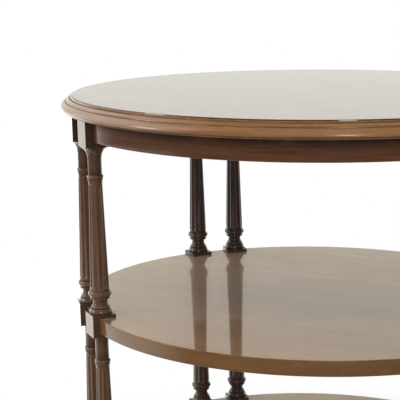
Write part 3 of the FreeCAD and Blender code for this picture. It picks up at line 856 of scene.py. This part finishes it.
half = floorSizes["half"]
floorMesh = bpy.data.meshes.new("floor")
floorMesh.from_pydata([(-half, -half, 0), (half, -half, 0), (half, half, 0), (-half, half, 0)], [],
                      [(0, 1, 2, 3)])
floor = bpy.data.objects.new("floor", floorMesh)
scene.collection.objects.link(floor)
floorFinish, floorTree, floorShader = newFinish("floorFinish")
floorMesh.materials.append(floorFinish)
rays = addNode(floorTree, "ShaderNodeLightPath").outputs
floorPlace = addNode(floorTree, "ShaderNodeTexCoord").outputs["Object"]
floorReach = vectorMath(floorTree, "LENGTH", floorPlace)
floorTone = mixColours(floorTree, "MIX", rays["Is Diffuse Ray"], shade(*[floorSizes["tone"]] * 3),
                       shade(*[floorSizes["bounce"]] * 3))
setInputs(floorTree, floorShader, Base_Color=floorTone, Roughness=floorSizes["rough"], Specular_IOR_Level=0.0)
glare, near = studioTones["glare"], studioTones["near"]
glareStrength = doMath(floorTree, "MULTIPLY", facing(floorTree, floorPlace, glare), glare["strength"])
nearShare = doMath(floorTree, "MULTIPLY", facing(floorTree, floorPlace, near),
                   fade(floorTree, floorReach, *near["edge"]))
nearStrength = doMath(floorTree, "MULTIPLY", nearShare, near["strength"])
floorMirrored = doMath(floorTree, "MAXIMUM", mirroredStrength(floorTree, floorPlace),
                       doMath(floorTree, "MAXIMUM", glareStrength, nearStrength))
whiteFloor = addNode(floorTree, "ShaderNodeEmission")
setInputs(floorTree, whiteFloor,
          Color=mixColours(floorTree, "MIX", rays["Is Camera Ray"], shade(*studioTones["low"]), white),
          Strength=mixValues(floorTree, rays["Is Camera Ray"], floorMirrored, 1.0))
seen = doMath(floorTree, "MAXIMUM", rays["Is Camera Ray"],
              doMath(floorTree, "MAXIMUM", rays["Is Glossy Ray"], rays["Is Transmission Ray"]))
whiteShare = spread(floorTree, floorReach, floorSizes["whiteFrom"], floorSizes["whiteBy"])
blend = addNode(floorTree, "ShaderNodeMixShader")
floorTree.links.new(doMath(floorTree, "MULTIPLY", whiteShare, seen), blend.inputs[0])
floorTree.links.new(floorShader.outputs[0], blend.inputs[1])
floorTree.links.new(whiteFloor.outputs[0], blend.inputs[2])
floorTree.links.new(blend.outputs[0], floorTree.nodes["Material Output"].inputs["Surface"])

# world: white to the camera, a white that warms higher up to the polish, and a soft front light to the rest
world = bpy.data.worlds.new("studio")
scene.world = world
world.use_nodes = True
sky = world.node_tree
skyWay = addNode(sky, "ShaderNodeTexCoord").outputs["Generated"]
skyRays = addNode(sky, "ShaderNodeLightPath").outputs
skySplit = addNode(sky, "ShaderNodeSeparateXYZ")
sky.links.new(skyWay, skySplit.inputs[0])
skyHeight = skySplit.outputs["Z"]
front, side = studioTones["front"], studioTones["side"]
frontShare = spread(sky, vectorMath(sky, "DOT_PRODUCT", skyWay, front["way"]), *front["levels"])
skyDim = spread(sky, skyHeight, *studioTones["dimHeights"])
backShare = doMath(sky, "MULTIPLY", facing(sky, skyWay, studioTones["bright"]),
                   doMath(sky, "SUBTRACT", 1.0, skyDim))
lighting = doMath(sky, "MULTIPLY_ADD", frontShare, front["strength"], studioTones["fill"])
lighting = doMath(sky, "MULTIPLY_ADD", backShare, studioTones["back"], lighting)
sideShare = doMath(sky, "MULTIPLY", facing(sky, skyWay, side), fade(sky, skyHeight, *side["edge"]))
skyMirrored = mixValues(sky, skyDim, mirroredStrength(sky, skyWay), studioTones["dim"])
skyMirrored = doMath(sky, "MAXIMUM", skyMirrored, doMath(sky, "MULTIPLY", sideShare, side["strength"]))
skyColour = mixColours(sky, "MIX", spread(sky, skyHeight, *studioTones["warmHeights"]),
                       shade(*studioTones["low"]), shade(*studioTones["high"]))
skyColour = mixColours(sky, "MIX", sideShare, skyColour, shade(*studioTones["cool"]))
mirrored = doMath(sky, "MAXIMUM", skyRays["Is Glossy Ray"], skyRays["Is Transmission Ray"])
skyStrength = mixValues(sky, mirrored, lighting, skyMirrored)
setInputs(sky, sky.nodes["Background"], Color=mixColours(sky, "MIX", mirrored, white, skyColour),
          Strength=mixValues(sky, skyRays["Is Camera Ray"], skyStrength, 1.0))

# soft lamps: a window on the left and a lamp by the camera, both mirrored, and a broad screen overhead
lampSizes = {
    "leftWindow": {"place": (-1.917, -1.48, 0.914), "aim": (-0.08, -0.29, 0.68), "size": (0.44, 0.55),
                   "power": 5.0, "mirrored": True},
    "cameraLamp": {"place": (1.20, -2.17, 0.99), "aim": (0.147, -0.266, 0.68), "size": (0.3, 0.6),
                   "power": 4.9, "mirrored": True},
    "overhead": {"place": (-0.4, -0.5, 2.4), "aim": (0, 0, 0.4), "size": (1.6, 1.6),
                 "power": 9.0, "mirrored": False},
}
for lampName, lampSize in lampSizes.items():
    lampData = bpy.data.lights.new(lampName, "AREA")
    lampData.shape = "RECTANGLE"
    lampData.size, lampData.size_y = lampSize["size"]
    lampData.energy = lampSize["power"]
    lamp = bpy.data.objects.new(lampName, lampData)
    lampWay = Vector(lampSize["aim"]) - Vector(lampSize["place"])
    lampTurn = lampWay.to_track_quat("-Z", "Y").to_matrix().to_4x4()
    lamp.matrix_world = Matrix.Translation(lampSize["place"]) @ lampTurn
    lamp.visible_camera = False
    lamp.visible_glossy = lampSize["mirrored"]
    scene.collection.objects.link(lamp)
print("stage: floor, world,", len(lampSizes), "lamps")

# camera at the photograph's place: a level direction, pitched down and rolled a little
cameraSizes = {"place": (0.6259, -1.5396, 0.8807), "towards": (-0.4266, 0.9045), "down": 0.2259,
               "roll": -0.0145, "lens": 117.17, "sensor": 36.0, "shift": (-0.1125, 0.1125), "clipEnd": 100.0}

cameraData = bpy.data.cameras.new("camera")
cameraData.sensor_width = cameraSizes["sensor"]
cameraData.lens = cameraSizes["lens"]
cameraData.shift_x, cameraData.shift_y = cameraSizes["shift"]
cameraData.clip_end = cameraSizes["clipEnd"]
camera = bpy.data.objects.new("camera", cameraData)
heading = math.atan2(-cameraSizes["towards"][0], cameraSizes["towards"][1])
camera.matrix_world = (Matrix.Translation(cameraSizes["place"]) @ Matrix.Rotation(heading, 4, "Z")
                       @ Matrix.Rotation(math.pi / 2 - cameraSizes["down"], 4, "X")
                       @ Matrix.Rotation(cameraSizes["roll"], 4, "Z"))
scene.collection.objects.link(camera)
scene.camera = camera
